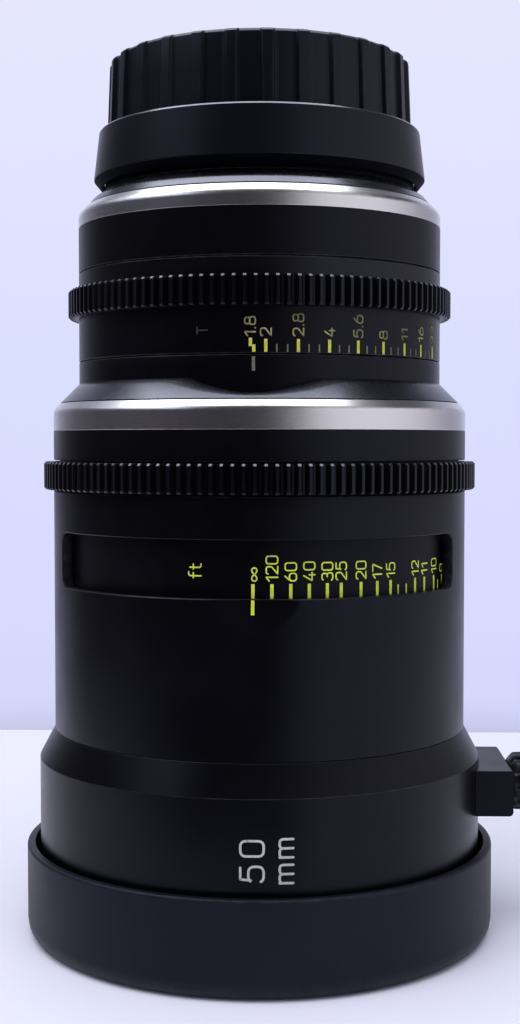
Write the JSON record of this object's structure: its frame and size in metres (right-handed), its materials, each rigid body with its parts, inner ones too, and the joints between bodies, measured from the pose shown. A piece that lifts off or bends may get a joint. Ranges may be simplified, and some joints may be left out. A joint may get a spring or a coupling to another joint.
{
  "type": "cinema prime lens",
  "caption": "Cinema prime lens standing on its front cap: geared focus and iris rings, scale window, silver trim rings, ribbed rear cap and a side support pad with a hand screw.",
  "frame": {"origin": "centre of the front cap's outer face, on the optical axis, where the lens stands on a table", "axes": "+Z along the optical axis from the front cap to the camera mount; -Y towards the index lines; +X towards the support pad"},
  "size_m": [0.1382, 0.1208, 0.2229],
  "materials": {
    "front_cap_plastic": "moulded, satin",
    "rear_cap_plastic": "moulded, satin",
    "barrel_black": "black anodised, satin",
    "sleeve_black": "black anodised, satin",
    "collar_black": "black anodised, satin",
    "rear_black": "black anodised, satin",
    "ring_black": "black anodised, satin",
    "gear_black": "black anodised, satin",
    "drum_black": "black anodised, matt",
    "bezel_black": "black anodised, matt",
    "trim_silver": "clear anodised, satin",
    "cell_black": "black anodised, matt",
    "tube_black": "black anodised, matt",
    "cam_alloy": "hard anodised",
    "coated_glass": "coated, polished",
    "optical_glass": "polished",
    "mount_steel": "ground",
    "fastener_steel": "plain",
    "bearing_brass": "turned",
    "blade_black": "matt coated",
    "pad_black": "black anodised, satin",
    "knob_black": "black anodised, satin"
  },
  "bodies": {
    "housing": {"front_barrel": "barrel_black", "front_bezel": "bezel_black", "front_cell": "cell_black", "front_element": "coated_glass", "front_spacer": "cell_black", "second_element": "optical_glass", "front_retaining_ring": "cell_black", "front_cell_screws": "fastener_steel", "main_tube": "tube_black", "main_tube_screws": "fastener_steel", "window_sleeve": "sleeve_black", "focus_glide_ring": "bearing_brass", "focus_stop_pin": "fastener_steel", "mid_housing": "sleeve_black", "mid_housing_screws": "fastener_steel", "mid_trim_ring": "trim_silver", "middle_cell": "cell_black", "middle_element_front": "optical_glass", "middle_element_rear": "optical_glass", "middle_retaining_rings": "cell_black", "index_collar": "collar_black", "rear_tube": "tube_black", "iris_keeper": "tube_black", "iris_base_ring": "tube_black", "rear_cell": "cell_black", "rear_element_inner": "optical_glass", "rear_element_outer": "coated_glass", "rear_retaining_rings": "cell_black", "rear_barrel": "rear_black", "rear_trim_ring": "trim_silver", "mount_base": "rear_black", "mount_shim": "bearing_brass", "lens_mount": "mount_steel", "mount_screws": "fastener_steel", "support_pad": "pad_black", "support_pad_screws": "fastener_steel"},
    "focus_ring": {"focus_drum": "drum_black", "focus_gear_ring": "gear_black", "cam_barrel": "cam_alloy", "cam_barrel_screws": "fastener_steel"},
    "focus_cell": {"focus_cell_frame": "cell_black", "cam_followers": "bearing_brass", "focus_element_front": "optical_glass", "focus_element_rear": "optical_glass", "focus_retaining_rings": "cell_black"},
    "iris_control": {"iris_ring": "ring_black", "iris_gear_ring": "gear_black", "iris_drive_key": "fastener_steel", "iris_cam_ring": "cam_alloy"},
    "front_cover": {"front_cap": "front_cap_plastic"},
    "rear_cover": {"rear_cap": "rear_cap_plastic"},
    "hand_screw": {"support_hand_screw": "knob_black"},
    "blade_1": {"iris_blade_1": "blade_black"},
    "blade_2": {"iris_blade_2": "blade_black"},
    "blade_3": {"iris_blade_3": "blade_black"},
    "blade_4": {"iris_blade_4": "blade_black"},
    "blade_5": {"iris_blade_5": "blade_black"},
    "blade_6": {"iris_blade_6": "blade_black"},
    "blade_7": {"iris_blade_7": "blade_black"}
  },
  "joints": [
    {"name": "focus_turn", "type": "hinge", "parent": "housing", "child": "focus_ring", "pos_m": [0, 0, 0.1178], "axis": [0, 0, -1], "range_deg": [0, 270]},
    {"name": "focus_cell_slide", "type": "slide", "parent": "housing", "child": "focus_cell", "axis": [0, 0, -1], "range_m": [0, 0.012]},
    {"name": "iris_turn", "type": "hinge", "parent": "housing", "child": "iris_control", "pos_m": [0, 0, 0.1577], "axis": [0, 0, -1], "range_deg": [0, 69]},
    {"name": "front_cap_off", "type": "slide", "parent": "housing", "child": "front_cover", "axis": [0, 0, -1], "range_m": [0, 0.04]},
    {"name": "rear_cap_off", "type": "slide", "parent": "housing", "child": "rear_cover", "axis": [0, 0, 1], "range_m": [0, 0.04]},
    {"name": "support_screw_turn", "type": "hinge", "parent": "housing", "child": "hand_screw", "pos_m": [0.0645, 0, 0.03775], "axis": [1, 0, 0], "continuous": true},
    {"name": "iris_blade_1_pivot", "type": "hinge", "parent": "housing", "child": "blade_1", "pos_m": [0.029, 0, 0.1545], "axis": [0, 0, 1], "range_deg": [0, 33]},
    {"name": "iris_blade_2_pivot", "type": "hinge", "parent": "housing", "child": "blade_2", "pos_m": [0.01808, 0.02267, 0.1545], "axis": [0, 0, 1], "range_deg": [0, 33]},
    {"name": "iris_blade_3_pivot", "type": "hinge", "parent": "housing", "child": "blade_3", "pos_m": [-0.00645, 0.02827, 0.1545], "axis": [0, 0, 1], "range_deg": [0, 33]},
    {"name": "iris_blade_4_pivot", "type": "hinge", "parent": "housing", "child": "blade_4", "pos_m": [-0.02613, 0.01258, 0.1545], "axis": [0, 0, 1], "range_deg": [0, 33]},
    {"name": "iris_blade_5_pivot", "type": "hinge", "parent": "housing", "child": "blade_5", "pos_m": [-0.02613, -0.01258, 0.1545], "axis": [0, 0, 1], "range_deg": [0, 33]},
    {"name": "iris_blade_6_pivot", "type": "hinge", "parent": "housing", "child": "blade_6", "pos_m": [-0.00645, -0.02827, 0.1545], "axis": [0, 0, 1], "range_deg": [0, 33]},
    {"name": "iris_blade_7_pivot", "type": "hinge", "parent": "housing", "child": "blade_7", "pos_m": [0.01808, -0.02267, 0.1545], "axis": [0, 0, 1], "range_deg": [0, 33]}
  ],
  "couplings": [
    {"joint": "focus_cell_slide", "follows": "focus_turn", "m_per_rad": 0.0025465},
    {"joint": "iris_blade_1_pivot", "follows": "iris_turn", "ratio": 0.478},
    {"joint": "iris_blade_2_pivot", "follows": "iris_turn", "ratio": 0.478},
    {"joint": "iris_blade_3_pivot", "follows": "iris_turn", "ratio": 0.478},
    {"joint": "iris_blade_4_pivot", "follows": "iris_turn", "ratio": 0.478},
    {"joint": "iris_blade_5_pivot", "follows": "iris_turn", "ratio": 0.478},
    {"joint": "iris_blade_6_pivot", "follows": "iris_turn", "ratio": 0.478},
    {"joint": "iris_blade_7_pivot", "follows": "iris_turn", "ratio": 0.478}
  ]
}
